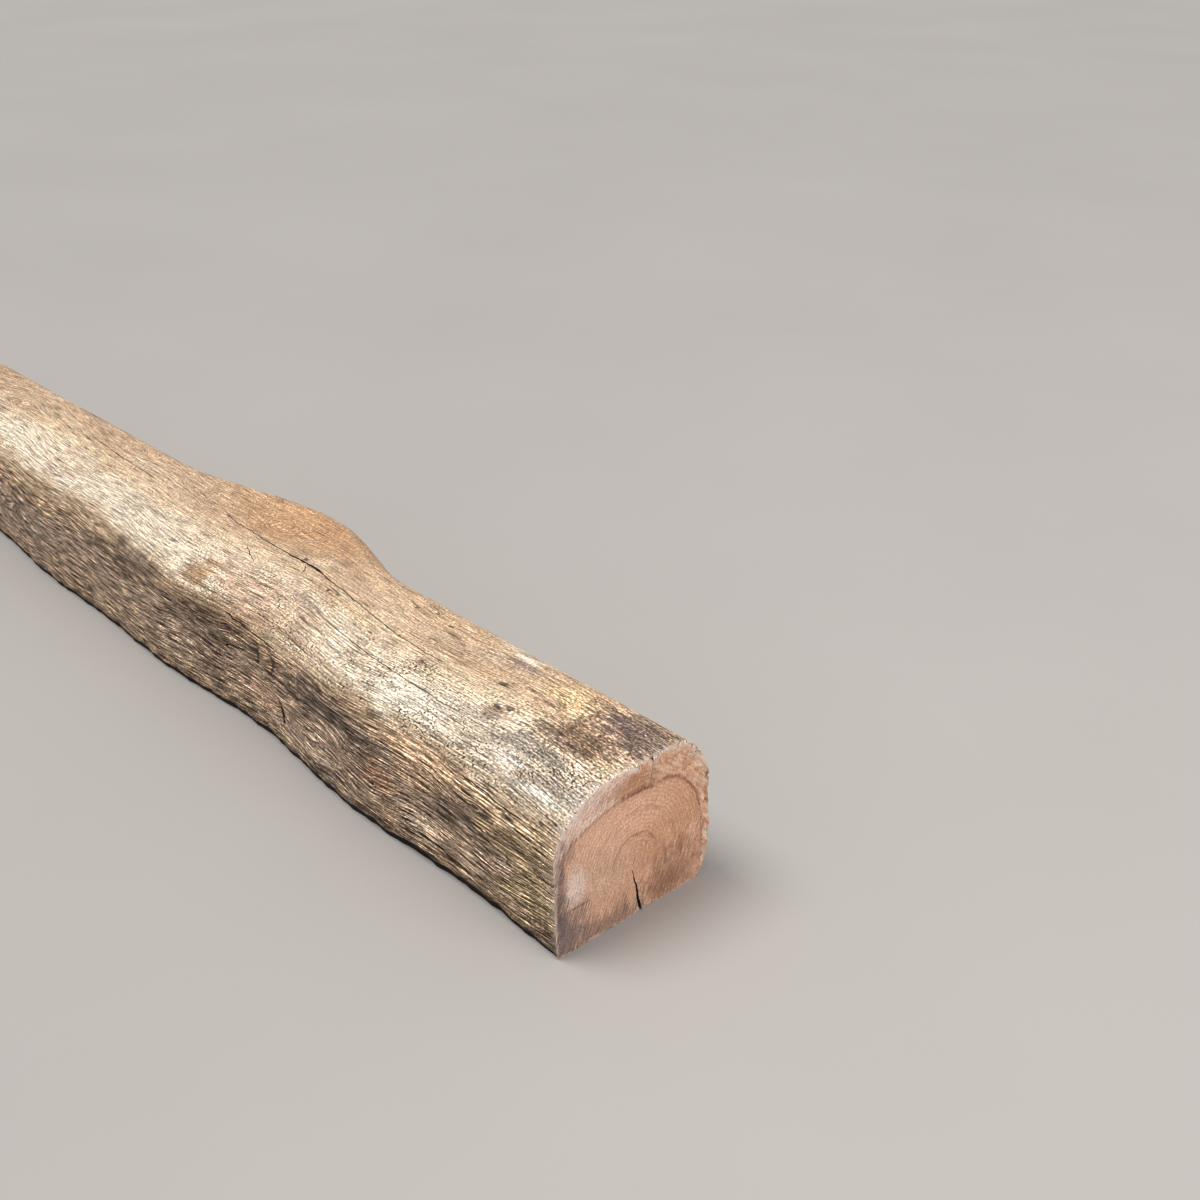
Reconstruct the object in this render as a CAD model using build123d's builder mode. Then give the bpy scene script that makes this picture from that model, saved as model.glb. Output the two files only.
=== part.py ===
from build123d import *
import math
import os

# A length of reclaimed oak beam: one sawn and hewn piece of heartwood. It lies along X on its
# flat underside. The sawn end at +X is the datum for every distance along the beam, the hewn
# face looks to -Y, and the waney back looks to +Y. All sizes are in millimetres.

# Overall sizes at the sawn end, and what the trunk's taper takes off by the far end.
beam_length = 1800
beam_width = 216
beam_height = 183
taper_width = 12
taper_height = 8

# The hewn face leans out a little and waves along the beam, in a short wave and a long one.
# A wave's start share is the part of a whole wave that lies before the sawn end.
face_lean = 2.5
short_wave_depth = 4.2
short_wave_pitch = 400
short_wave_start_share = -0.19
long_wave_depth = 4.7
long_wave_pitch = 700
long_wave_start_share = 0.375

# The foot of the hewn face is a worn arris, more so in some places than in others.
arris_inset = 13
arris_rise = 12
arris_wear_share = 0.3
arris_wear_pitch = 340

# Shallow hollows that the axe and rot have left in the hewn face: the length, width and depth of
# a whole one, and each one's distance from the sawn end, height and share of those sizes.
hollow_length = 110
hollow_width = 44
hollow_depth = 4
hollows = ((158, 94, 0.7), (390, 36, 1.0), (412, 106, 1.1), (665, 88, 1.3))

# Wane along the top of the hewn face, where the rounded trunk shows in place of a square arris.
wane_width = 74
wane_drop = 63
wane_width_swing = 14
wane_drop_swing = 8
wane_swing_pitch = 1000

# The back has a worn shoulder along its top and a round heel along its foot.
back_lean = 4
shoulder_width = 49
shoulder_drop = 61
heel_width = 31
heel_rise = 42

# Fullness of the rounded corners: 0 is a flat chamfer, and 1 is a full round.
round_fullness_share = 0.5

# Swelling on the back round the root of a branch, steeper towards the sawn end.
swell_reach = 37
swell_lift = 9
swell_distance = 695
swell_near_run = 205
swell_far_run = 350

# The underside is sawn flat through the lofted trunk, which starts this far below it.
sole_depth = 5
station_pitch = 75

# Drying check that opens at the sawn end and the underside, and runs out along the beam.
end_check_place = 118
end_check_width = 4
end_check_height = 48
end_check_run = 240
end_check_lean = 7

# Long drying check along the top, over the swelling, turned a little with the spiral grain.
# It narrows from its middle to its two tips.
top_check_place = 117
top_check_distance = 600
top_check_length = 560
top_check_width = 4
top_check_tip = 0.8
top_check_depth = 24
top_check_turn = -4

overrun = 10

sawn_end = beam_length / 2


def wave(distance, depth, pitch, start_share):
    """Height of a smooth wave at a distance from the sawn end."""
    return depth * math.sin(2 * math.pi * (distance / pitch + start_share))


def face_inset(distance):
    """How far the hewn face stands in from its datum, at a distance from the sawn end."""
    short_wave = wave(distance, short_wave_depth, short_wave_pitch, short_wave_start_share)
    long_wave = wave(distance, long_wave_depth, long_wave_pitch, long_wave_start_share)
    return short_wave + long_wave


def swell(distance):
    """Share of the swelling, 1 at its crest and 0 past its two runs."""
    run = swell_near_run if distance < swell_distance else swell_far_run
    reach = min(abs(distance - swell_distance) / run, 1)
    return (1 + math.cos(math.pi * reach)) / 2


def trunk_section(distance):
    """Cross section of the trunk at a distance from the sawn end."""
    along = distance / beam_length
    face = face_inset(distance)
    back = beam_width - taper_width * along + swell_reach * swell(distance)
    top = beam_height - taper_height * along + swell_lift * swell(distance)
    wane_inset = wane_width + wave(distance, wane_width_swing, wane_swing_pitch, 0)
    wane_foot = top - wane_drop - wave(distance, wane_drop_swing, wane_swing_pitch, 0)
    wear = 1 + wave(distance, arris_wear_share, arris_wear_pitch, 0)
    face_sole = (face + arris_inset * wear, -sole_depth)
    face_foot = (face, arris_rise * wear)
    face_top = (face - face_lean, wane_foot)
    back_top = (back - back_lean, top - shoulder_drop)
    back_foot = (back, heel_rise)
    top_front = (face + wane_inset, top)
    top_back = (back - shoulder_width, top)
    heel_end = (back - heel_width, -sole_depth)
    round_weights = (1, round_fullness_share, 1)
    with BuildSketch(Plane.YZ.offset(sawn_end - distance)) as section:
        with BuildLine():
            Bezier(face_sole, (face, -sole_depth), face_foot, weights=round_weights)
            Line(face_foot, face_top)
            Bezier(face_top, (face - face_lean, top), top_front, weights=round_weights)
            Line(top_front, top_back)
            Bezier(top_back, (back - back_lean, top), back_top, weights=round_weights)
            Line(back_top, back_foot)
            Bezier(back_foot, (back, -sole_depth), heel_end, weights=round_weights)
            Line(heel_end, face_sole)
        make_face()
    return section.sketch


# The trunk is lofted through evenly spaced sections, then its underside is sawn flat.
station_count = math.ceil(beam_length / station_pitch)
stations = [beam_length * station / station_count for station in range(station_count + 1)]
sections = [trunk_section(distance) for distance in stations]
with BuildPart() as trunk:
    loft(sections)
    split(bisect_by=Plane.XY, keep=Keep.TOP)

    # Each hollow is scooped by the rim of a ring, which dips to the hollow's depth at its middle.
    long_radius = hollow_length**2 / (8 * hollow_depth)
    wide_radius = hollow_width**2 / (8 * hollow_depth)
    for distance, height, share in hollows:
        face = face_inset(distance) - face_lean * height / (beam_height - wane_drop)
        ring_middle = face + share * (hollow_depth - long_radius)
        with Locations((sawn_end - distance, ring_middle, height)):
            Torus(share * (long_radius - wide_radius), share * wide_radius, mode=Mode.SUBTRACT)

    # The end check is a thin wedge: widest at the sawn end's foot, closed along the beam.
    with BuildSketch(Plane.YZ.offset(sawn_end), mode=Mode.PRIVATE) as end_check:
        with BuildLine():
            Polyline(
                (end_check_place - end_check_width / 2, 0),
                (end_check_place + end_check_width / 2, 0),
                (end_check_place - end_check_lean, end_check_height),
                close=True,
            )
        make_face()
    end_check_tip = Vertex(sawn_end - end_check_run, end_check_place, 0)
    loft([end_check.sketch.face(), end_check_tip], mode=Mode.SUBTRACT)

    # The top check is a slit between two flat arcs that nearly meet at its tips.
    top_check_floor = beam_height - top_check_depth
    top_check_origin = (sawn_end - top_check_distance, top_check_place, top_check_floor)
    top_check_plane = Plane(top_check_origin).rotated((0, 0, top_check_turn))
    tip_along = top_check_length / 2
    tip_across = top_check_tip / 2
    with BuildSketch(top_check_plane):
        with BuildLine():
            ThreePointArc(
                (-tip_along, tip_across),
                (0, top_check_width / 2),
                (tip_along, tip_across),
            )
            Line((tip_along, tip_across), (tip_along, 0))
            Line((-tip_along, 0), (-tip_along, tip_across))
            mirror(about=Plane.XZ)
        make_face()
    extrude(amount=top_check_depth + swell_lift + overrun, mode=Mode.SUBTRACT)

# The origin is on the underside, below the middle of the beam's overall length and width.
middle = trunk.part.bounding_box().center()
with BuildPart() as oak_beam:
    with Locations((-middle.X, -middle.Y, 0)):
        add(trunk.part)
oak_beam.part.label = "oak_beam"

os.makedirs("parts", exist_ok=True)
export_step(oak_beam.part, "parts/oak_beam.step")
box = oak_beam.part.bounding_box()
print("overall", box.size, "lowest", box.min, "hewn face datum at y", -middle.Y)
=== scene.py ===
import math

import bpy
import numpy as np
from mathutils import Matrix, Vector, noise
from mathutils.bvhtree import BVHTree


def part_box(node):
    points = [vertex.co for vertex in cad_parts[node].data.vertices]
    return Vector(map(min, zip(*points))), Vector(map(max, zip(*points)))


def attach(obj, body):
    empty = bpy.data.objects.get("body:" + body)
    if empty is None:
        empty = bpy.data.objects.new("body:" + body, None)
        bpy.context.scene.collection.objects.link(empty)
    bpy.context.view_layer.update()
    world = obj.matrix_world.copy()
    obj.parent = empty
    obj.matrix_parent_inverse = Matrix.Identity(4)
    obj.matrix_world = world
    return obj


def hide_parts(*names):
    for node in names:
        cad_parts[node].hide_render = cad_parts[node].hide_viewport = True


# A length of reclaimed oak beam, in metres, in the frame of its solid: the sawn end is at +X, the
# hewn face looks to -Y and the flat sole lies on the floor. Places on the beam are given as the
# distance along it from the sawn end, and the girth round it from the foot of the hewn face.

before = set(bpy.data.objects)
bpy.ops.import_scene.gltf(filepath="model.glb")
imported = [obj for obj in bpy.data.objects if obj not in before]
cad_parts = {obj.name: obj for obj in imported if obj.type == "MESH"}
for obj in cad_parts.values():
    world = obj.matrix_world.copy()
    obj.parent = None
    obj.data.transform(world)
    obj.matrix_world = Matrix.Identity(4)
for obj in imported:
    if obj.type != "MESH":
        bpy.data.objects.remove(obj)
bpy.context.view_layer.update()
beam_low, beam_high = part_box("oak_beam")
SAWN_X = beam_high.x
LENGTH = beam_high.x - beam_low.x
SEED = 11
rng = np.random.default_rng(SEED)

# The hewn face's datum, from which distances across the beam are measured.
FACE_Y = -0.1191

# Rays that read the trunk's section from outside towards its heart line, the first from below the hewn face.
# One that sinks further than a check's lip below its neighbours has met a check, and is bridged over.
HEART_Y, HEART_Z = -0.01, 0.09
RAY_COUNT = 720
RAY_REACH = 0.4
FIRST_RAY = -0.75 * math.pi
BRIDGE_RAYS = 10
CHECK_LIP = 0.0015
SOLE_HEIGHT = 0.0004

# The hewn face's foot is rotted under: its ragged lip hangs clear of the floor, as high as its profile says.
# The lip's waves are heights, as shares of its swing, and radians in a metre.
FOOT_TOP = 0.0175
LIP_DISTANCES = (0.0, 0.012, 0.04, 0.12, 0.22, 0.34, 0.45, 0.55, 0.63, 0.72, 0.82, 1.0, 1.3, 1.6, 1.79, 1.8)
LIP_LIFTS = (3.0, 6.5, 11.0, 13.5, 13.5, 11.5, 13.0, 12.5, 10.5, 11.0, 11.5, 11.0, 12.0, 10.0, 7.0, 3.0)
LIP_UNIT = 0.001
GIRTH_FOOT = 0.0062
LIP_SWING = 0.0024
LIP_RISE_WAVES = ((0.4, 61), (0.35, 149), (0.25, 331))
LIP_REACH_WAVES = ((0.3, 83), (0.2, 211))
LIP_REACH_MEAN = 0.5
UNDERCUT_SLOPE = 0.35

# The skin's grid: columns lie close from the foot to past the crest, and wider down the back.
ROWS = 205
ROW_BIAS = 0.45
FRONT_GIRTH = 0.36
FRONT_COLUMNS = 284
BACK_COLUMNS = 56
SOLE_COLUMNS = 20
UNDERCUT_COLUMNS = 4
FLANK_COLUMNS = FRONT_COLUMNS + BACK_COLUMNS
RIM = 0.003
END_MARGIN = 0.0004

# Wear of the saw cuts' rims: its depth, its shares round the girth and on the rows nearest each end, and the
# notches that break the sawn end's rim.
RIM_WEAR = 0.0011
RIM_GIRTHS = (0.0, 0.20, 0.25, 0.30, 0.43, 0.48)
RIM_SHARES = (0.7, 1.1, 2.0, 2.6, 1.6, 0.7)
RIM_ROWS = ((0, 1.0), (1, 0.35), (-1, 0.8), (-2, 0.3))
RIM_SETBACK = 0.8
TEAR_KNOTS = 90
NOTCH_KNOTS = 230
NOTCH_START = 0.40
NOTCH_GAIN = 5

# The pith shows on both ends, and the rings close in on it. On the sawn end a dark line parts the heart from
# the sapwood: its points are across from the hewn face's datum and up, from the left foot to the right. The
# first ones run up its left side, and the last ones down its right side.
PITH_Y, PITH_Z = -0.013, 0.068
HEART_LINE = (
    (0.004, -0.010), (0.003, 0.060), (0.008, 0.112), (0.020, 0.130), (0.038, 0.140), (0.065, 0.148),
    (0.097, 0.152), (0.120, 0.151), (0.131, 0.147), (0.148, 0.151), (0.165, 0.146), (0.181, 0.132),
    (0.194, 0.113), (0.200, 0.090), (0.203, 0.068), (0.205, 0.040), (0.203, -0.010),
)
HEART_LEFT_POINTS = 7
HEART_RIGHT_START = 10
HEART_SHOULDER = 0.11

# Rings of faces on the two ends, crowded towards the rim.
SAWN_RINGS = 24
FAR_RINGS = 10
RING_CROWDING = 1.35

# The saw cut is a little rough, and its rim is torn towards the back: where the tear starts and is full,
# across and up, and how far in from the rim it reaches.
SAW_ROUGHNESS = 0.0003
TORN_DEPTH = 0.0045
TORN_ACROSS = (0.118, 0.14)
TORN_UP = (0.008, 0.025)
TORN_REACH_ACROSS = (0.12, 0.16, 0.19)
TORN_REACHES = (0.020, 0.018, 0.011)
TORN_REACH_SWING = 0.006
TORN_FADE = 0.003

# The camera gives the photograph's own frame: that picture's side and focal length in pixels, the camera's
# place from the foot of the sawn end's front corner, the way it looks along the floor, and how far down.
PHOTO_SIDE = 1200
PHOTO_FOCAL = 1493.3
SENSOR = 36.0
CAMERA_FROM_CORNER = Vector((0.8744, -0.7452, 1.0))
CAMERA_AIM = Vector((-0.73649, 0.67645, 0))
CAMERA_PITCH = 27.466
CAMERA_CLIP = 200.0


class Wire:
    """A node's output that arithmetic works on: each operator adds one Math node to its tree."""

    def __init__(self, desk, socket):
        self.desk = desk
        self.socket = socket

    def output(self, name):
        return Wire(self.desk, self.socket.node.outputs[name])

    def __add__(self, other):
        return self.desk.math("ADD", self, other)

    def __radd__(self, other):
        return self.desk.math("ADD", other, self)

    def __sub__(self, other):
        return self.desk.math("SUBTRACT", self, other)

    def __rsub__(self, other):
        return self.desk.math("SUBTRACT", other, self)

    def __mul__(self, other):
        return self.desk.math("MULTIPLY", self, other)

    def __rmul__(self, other):
        return self.desk.math("MULTIPLY", other, self)

    def __truediv__(self, other):
        return self.desk.math("DIVIDE", self, other)

    def __rtruediv__(self, other):
        return self.desk.math("DIVIDE", other, self)

    def __rpow__(self, other):
        return self.desk.math("POWER", other, self)

    def __abs__(self):
        return self.desk.math("ABSOLUTE", self)


class Desk:
    """Adds nodes to one tree, of shaders or of geometry."""

    def __init__(self, tree):
        self.tree = tree

    def node(self, kind, settings=None, sockets=None, output=0):
        """One node: its settings are set first, then the values or links of its sockets."""
        made = self.tree.nodes.new(kind)
        for name, value in (settings or {}).items():
            if name == "stops":
                self.set_stops(made.color_ramp, value)
            else:
                setattr(made, name, value)
        for name, value in (sockets or {}).items():
            if isinstance(value, Wire):
                self.tree.links.new(value.socket, made.inputs[name])
            else:
                made.inputs[name].default_value = value
        return Wire(self, made.outputs[output]) if made.outputs else made

    def set_stops(self, ramp, stops):
        while len(ramp.elements) < len(stops):
            ramp.elements.new(1)
        for element, (place, colour) in zip(ramp.elements, stops):
            element.position = place
            element.color = colour

    def math(self, operation, *values):
        return self.node("ShaderNodeMath", {"operation": operation}, dict(enumerate(values)))

    def vector(self, x, y, z=0.0):
        return self.node("ShaderNodeCombineXYZ", {}, {0: x, 1: y, 2: z})

    def noise(self, vector, scale=1.0, detail=2.0, rough=0.5, kind="3D"):
        sockets = {"Vector": vector, "Scale": scale, "Detail": detail, "Roughness": rough}
        return self.node("ShaderNodeTexNoise", {"noise_dimensions": kind}, sockets)

    def grain(self, along, course, long, wide, detail=3.0, rough=0.6):
        """Noise about 0 on the grain map, drawn out to a length along the grain and a width across it."""
        vector = self.vector(along * (1 / long), course * (1 / wide))
        return self.noise(vector, detail=detail, rough=rough, kind="2D") - 0.5

    def step(self, value, low, high):
        """0 below low, 1 above high, and smooth between them. It falls where low is the larger."""
        if low > high:
            return 1 - self.step(value, high, low)
        sockets = {"Value": value, "From Min": low, "From Max": high}
        return self.node("ShaderNodeMapRange", {"interpolation_type": "SMOOTHSTEP"}, sockets)

    def blend(self, share, first, second):
        """Mix of two colours."""
        settings = {"data_type": "RGBA", "clamp_factor": True}
        return self.node("ShaderNodeMix", settings, {0: share, 6: first, 7: second}, output=2)

    def shade(self, colour, value):
        """A colour made lighter or darker by a value."""
        return self.node("ShaderNodeVectorMath", {"operation": "SCALE"}, {0: colour, "Scale": value})


def tint(red, green, blue):
    """A colour as it shows on a screen, from 0 to 255, as the linear colour that a shader takes."""
    channels = []
    for value in (red, green, blue):
        share = value / 255
        channels.append(share / 12.92 if share <= 0.04045 else ((share + 0.055) / 1.055) ** 2.4)
    return (*channels, 1.0)


SPECULAR_LEVEL = 0.25


def new_material(name, roughness):
    """A material with a rough Principled shader, its desk and that shader's sockets."""
    material = bpy.data.materials.new(name)
    material.use_nodes = True
    shader = material.node_tree.nodes["Principled BSDF"]
    shader.inputs["Roughness"].default_value = roughness
    shader.inputs["Specular IOR Level"].default_value = SPECULAR_LEVEL
    return material, Desk(material.node_tree), shader.inputs


def connect(desk, wire, socket):
    desk.tree.links.new(wire.socket, socket)


# The skin is read off the solid, row by row.

def solid_tree():
    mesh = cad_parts["oak_beam"].data
    corners = [vertex.co for vertex in mesh.vertices]
    return BVHTree.FromPolygons(corners, [face.vertices for face in mesh.polygons])


def section_points(tree, x):
    """Points round the solid's section at x, clockwise as the sawn end shows it, checks bridged."""
    angles = -2 * math.pi * np.arange(RAY_COUNT) / RAY_COUNT + FIRST_RAY
    heart = Vector((x, HEART_Y, HEART_Z))
    radii = np.empty(RAY_COUNT)
    for ray, angle in enumerate(angles):
        away = Vector((0, math.cos(angle), math.sin(angle)))
        hit = tree.ray_cast(heart + away * RAY_REACH, -away)[0]
        radii[ray] = (hit - heart).length
    near = [np.roll(radii, shift) for shift in range(-BRIDGE_RAYS, BRIDGE_RAYS + 1)]
    usual = np.median(near, axis=0)
    radii = np.where(radii < usual - CHECK_LIP, usual, radii)
    return np.column_stack([HEART_Y + radii * np.cos(angles), HEART_Z + radii * np.sin(angles)])


def resample(points):
    """The flank's line divided evenly into its front columns, and more widely into its back columns."""
    steps = np.linalg.norm(np.diff(points, axis=0), axis=1)
    reach = np.concatenate([[0], np.cumsum(steps)])
    front = np.linspace(0, FRONT_GIRTH, FRONT_COLUMNS + 1)
    back = np.linspace(FRONT_GIRTH, reach[-1], BACK_COLUMNS + 1)
    wanted = np.concatenate([front, back[1:]])
    return np.column_stack([np.interp(wanted, reach, points[:, k]) for k in range(2)])


def ripple(distance, waves):
    """Sum of sine waves along the beam, from their heights and their radians in a metre."""
    return sum(height * math.sin(distance * rate + height) for height, rate in waves)


def row_outline(tree, distance):
    """One row of the skin: the flank from the lip over the top to the heel, then back under the sole."""
    inner = min(max(distance, END_MARGIN), LENGTH - END_MARGIN)
    points = section_points(tree, SAWN_X - inner)
    on_sole = np.flatnonzero(points[:, 1] < SOLE_HEIGHT)
    front = on_sole[np.argmin(points[on_sole, 0])]
    back = on_sole[np.argmax(points[on_sole, 0])]
    flank = np.roll(points, -front, axis=0)[: (back - front) % RAY_COUNT + 1]
    flank = flank[np.argmax(flank[:, 1] > FOOT_TOP):]
    flank[-1, 1] = 0
    lift = LIP_UNIT * np.interp(distance, LIP_DISTANCES, LIP_LIFTS)
    lift += LIP_SWING * min(lift / LIP_SWING - 1, 1) * ripple(distance, LIP_RISE_WAVES)
    lip_y = flank[0, 0] + LIP_SWING * (LIP_REACH_MEAN + ripple(distance, LIP_REACH_WAVES))
    flank = resample(np.vstack([[lip_y, lift], flank]))
    heel = [lip_y + UNDERCUT_SLOPE * lift, 0]
    sole = np.linspace(flank[-1], heel, SOLE_COLUMNS + 1)[1:]
    chamfer = np.linspace(heel, flank[0], UNDERCUT_COLUMNS + 1)[1:-1]
    return np.vstack([flank, sole, chamfer])


def row_distances():
    """Distances of the rows from the sawn end: closer near it, and a worn rim at both ends."""
    share = np.linspace(0, 1, ROWS + 1)
    even = LENGTH * ((1 - ROW_BIAS) * share + ROW_BIAS * share**2)
    rim = np.array([0, 0.4 * RIM, RIM])
    inner = even[(even > 1.5 * RIM) & (even < LENGTH - 1.5 * RIM)]
    return np.concatenate([rim, inner, LENGTH - rim[::-1]])


def smooth_noise(count, knots):
    """A wavy closed line of values from -1 to 1, with a count of random knots."""
    values = rng.uniform(-1, 1, knots)
    places = np.arange(count) * knots / count
    low = places.astype(int) % knots
    share = places - places.astype(int)
    share = share * share * (3 - 2 * share)
    return values[low] * (1 - share) + values[(low + 1) % knots] * share


# Knots that the grain flows round: distance, girth, reach, stretch along the grain.
KNOTS = (
    (0.122, 0.114, 0.0028, 1.8),
    (0.304, 0.056, 0.0045, 1.8),
    (0.416, 0.061, 0.0040, 1.6),
    (0.700, 0.305, 0.014, 2.0),
    (0.168, 0.222, 0.005, 1.8),
    (1.240, 0.070, 0.012, 1.6),
    (1.420, 0.240, 0.014, 1.7),
    (0.420, 0.430, 0.012, 1.6),
    (1.150, 0.420, 0.014, 1.6),
)

# Bends in the grain: distance, girth, reach along, reach round, and how far the grain dips there.
BENDS = (
    (0.100, 0.025, 0.070, 0.030, 0.0056),
    (0.030, 0.060, 0.040, 0.025, -0.0040),
    (0.140, 0.105, 0.040, 0.020, 0.0032),
    (0.225, 0.055, 0.035, 0.022, -0.0036),
    (0.310, 0.060, 0.050, 0.032, 0.0076),
    (0.420, 0.085, 0.060, 0.026, -0.0040),
    (0.505, 0.035, 0.050, 0.026, -0.0056),
    (0.570, 0.095, 0.040, 0.022, 0.0036),
    (0.660, 0.090, 0.050, 0.036, 0.0076),
    (0.730, 0.060, 0.050, 0.030, -0.0040),
    (0.060, 0.240, 0.060, 0.030, -0.0036),
    (0.180, 0.215, 0.040, 0.022, 0.0028),
    (0.120, 0.170, 0.070, 0.026, -0.0028),
    (0.300, 0.280, 0.100, 0.032, 0.0032),
    (0.420, 0.170, 0.100, 0.030, 0.0024),
    (0.450, 0.230, 0.090, 0.030, -0.0024),
    (0.560, 0.190, 0.060, 0.030, -0.0032),
    (0.640, 0.225, 0.050, 0.026, 0.0040),
    (0.950, 0.080, 0.100, 0.032, 0.0056),
    (1.100, 0.200, 0.150, 0.045, 0.0048),
    (1.400, 0.100, 0.100, 0.032, -0.0048),
    (1.600, 0.050, 0.080, 0.030, 0.0048),
    (0.600, 0.420, 0.150, 0.045, 0.0060),
    (1.350, 0.440, 0.150, 0.045, -0.0052),
)


# The grain's slow wander: its height, its radians in a metre along and round the beam, and its start.
WANDERS = ((0.0030, 9, 14, 0), (0.0010, 31, -31, 1))

# Share of a knot's reach, squared, over which the grain eases into its middle.
KNOT_EASE = 0.35


def grain_course(along, girth):
    """Girth as the grain runs: dipped at each bend, parted round each knot, and wandering a little."""
    course = girth
    for height, along_rate, girth_rate, start in WANDERS:
        course = course + height * np.sin(along * along_rate + girth * girth_rate + start)
    for distance, centre, long, wide, dip in BENDS:
        course = course + dip * np.exp(-(((along - distance) / long) ** 2) - ((girth - centre) / wide) ** 2)
    for distance, centre, reach, stretch in KNOTS:
        u, v = (along - distance) / stretch, girth - centre
        course = course - v * reach**2 / (u * u + v * v + KNOT_EASE * reach**2)
    return course


class Skin:
    """The trunk's skin as a grid of rows along the beam and columns round it."""

    def __init__(self):
        tree = solid_tree()
        self.distance = row_distances()
        outline = np.array([row_outline(tree, distance) for distance in self.distance])
        x = np.broadcast_to((SAWN_X - self.distance)[:, None], outline.shape[:2])
        self.points = np.concatenate([x[:, :, None], outline], axis=2)
        self.columns = outline.shape[1]
        self.girth = self.girth_grid(outline)
        self.course = grain_course(self.distance[:, None], self.girth)

    def girth_grid(self, outline):
        """Girth of each point, and of the row's first point again where the row closes."""
        closed = np.concatenate([outline, outline[:, :1]], axis=1)
        steps = np.linalg.norm(np.diff(closed, axis=1), axis=2)
        lift = outline[:, :1, 1] - GIRTH_FOOT
        return lift + np.concatenate([np.zeros((len(outline), 1)), np.cumsum(steps, axis=1)], axis=1)

    def normals(self):
        along = np.gradient(self.points, axis=0)
        ahead, behind = np.roll(self.points, -1, axis=1), np.roll(self.points, 1, axis=1)
        normal = np.cross(ahead - behind, along)
        return normal / np.maximum(np.linalg.norm(normal, axis=2, keepdims=True), 1e-12)

    def at(self, distance, girth):
        """Point and outward normal of the skin at a distance along it and a girth round it."""
        row = int(np.clip(np.searchsorted(self.distance, distance) - 1, 0, len(self.distance) - 2))
        share = (distance - self.distance[row]) / (self.distance[row + 1] - self.distance[row])
        found = []
        for grid in (self.points, self.normal_grid):
            near, far = (self.on_row(grid, k, girth) for k in (row, row + 1))
            found.append(near * (1 - share) + far * share)
        return found[0], found[1] / np.linalg.norm(found[1])

    def on_row(self, grid, row, girth):
        """A grid's three values on one row, at a girth round it."""
        return np.array([np.interp(girth, self.girth[row, :-1], grid[row, :, axis]) for axis in range(3)])

    def wear_rims(self):
        """Rounds the saw cuts' rims a little, and tears and notches them."""
        heart = np.array([0, HEART_Y, HEART_Z])
        tear = 0.5 + 0.5 * smooth_noise(self.columns, TEAR_KNOTS)
        notch = np.clip(smooth_noise(self.columns, NOTCH_KNOTS) - NOTCH_START, 0, 1) * NOTCH_GAIN
        girth_share = np.interp(self.girth[0, :-1], RIM_GIRTHS, RIM_SHARES)
        tear = RIM_WEAR * (tear + notch) * girth_share
        for row, share in RIM_ROWS:
            ring = self.points[row]
            inward = heart - ring
            inward[:, 0] = 0
            inward /= np.linalg.norm(inward, axis=1, keepdims=True)
            ring += inward * (tear * share)[:, None]
            ring[:, 0] += np.sign(-ring[:, 0]) * tear * share * RIM_SETBACK
        self.points[:, :, 2] = np.maximum(self.points[:, :, 2], 0)


# Furrow depth round the beam: deep in the hewn face and the back, shallow on the bleached top. The furrows
# fade towards the floor, and to a share of their depth towards both ends.
FURROW_FADE = 0.012
END_FURROW_SHARE = 0.25
FURROW_GIRTHS = (0.0, 0.02, 0.11, 0.135, 0.17, 0.29, 0.35, 0.46, 0.49, 0.52)
FURROW_DEPTHS = (0.0012, 0.0012, 0.0012, 0.0006, 0.0002, 0.0002, 0.0006, 0.0014, 0.0014, 0.0003)

# Knots and hollows: distance, girth, reach along, reach round, depth, and the height of a collar. The
# collar's place is a share of the reach, and its spread is a share of the reach squared.
COLLAR_PLACE = 1.3
COLLAR_SPREAD = 0.15
HOLLOWS = (
    (0.122, 0.114, 0.008, 0.004, 0.0022, 0.0005),
    (0.304, 0.056, 0.010, 0.006, 0.0032, 0.0008),
    (0.416, 0.061, 0.009, 0.006, 0.0030, 0.0010),
    (0.515, 0.112, 0.018, 0.010, 0.0040, 0.0012),
    (0.505, 0.050, 0.012, 0.018, 0.0035, 0.0010),
    (0.550, 0.110, 0.010, 0.012, 0.0025, 0.0010),
    (0.620, 0.118, 0.014, 0.010, 0.0045, 0.0016),
    (0.860, 0.125, 0.080, 0.030, 0.0040, 0.0000),
    (0.168, 0.224, 0.008, 0.006, 0.0020, 0.0006),
    (1.240, 0.070, 0.030, 0.018, 0.0050, 0.0015),
    (1.420, 0.240, 0.024, 0.018, 0.0030, 0.0010),
    (0.420, 0.430, 0.022, 0.016, 0.0040, 0.0012),
    (1.150, 0.420, 0.034, 0.020, 0.0050, 0.0015),
)


def press_hollows(skin):
    """Presses each knot and hollow into the skin, inside a low collar of swollen fibre."""
    normals = skin.normals()
    for distance, girth, long, wide, depth, collar in HOLLOWS:
        away = ((skin.distance[:, None] - distance) / long) ** 2
        away = away + ((skin.girth[:, :-1] - girth) / wide) ** 2
        rise = collar * np.exp(-((np.sqrt(away) - COLLAR_PLACE) ** 2) / COLLAR_SPREAD)
        height = rise - depth * np.exp(-away)
        skin.points += normals * height[:, :, None]


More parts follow.
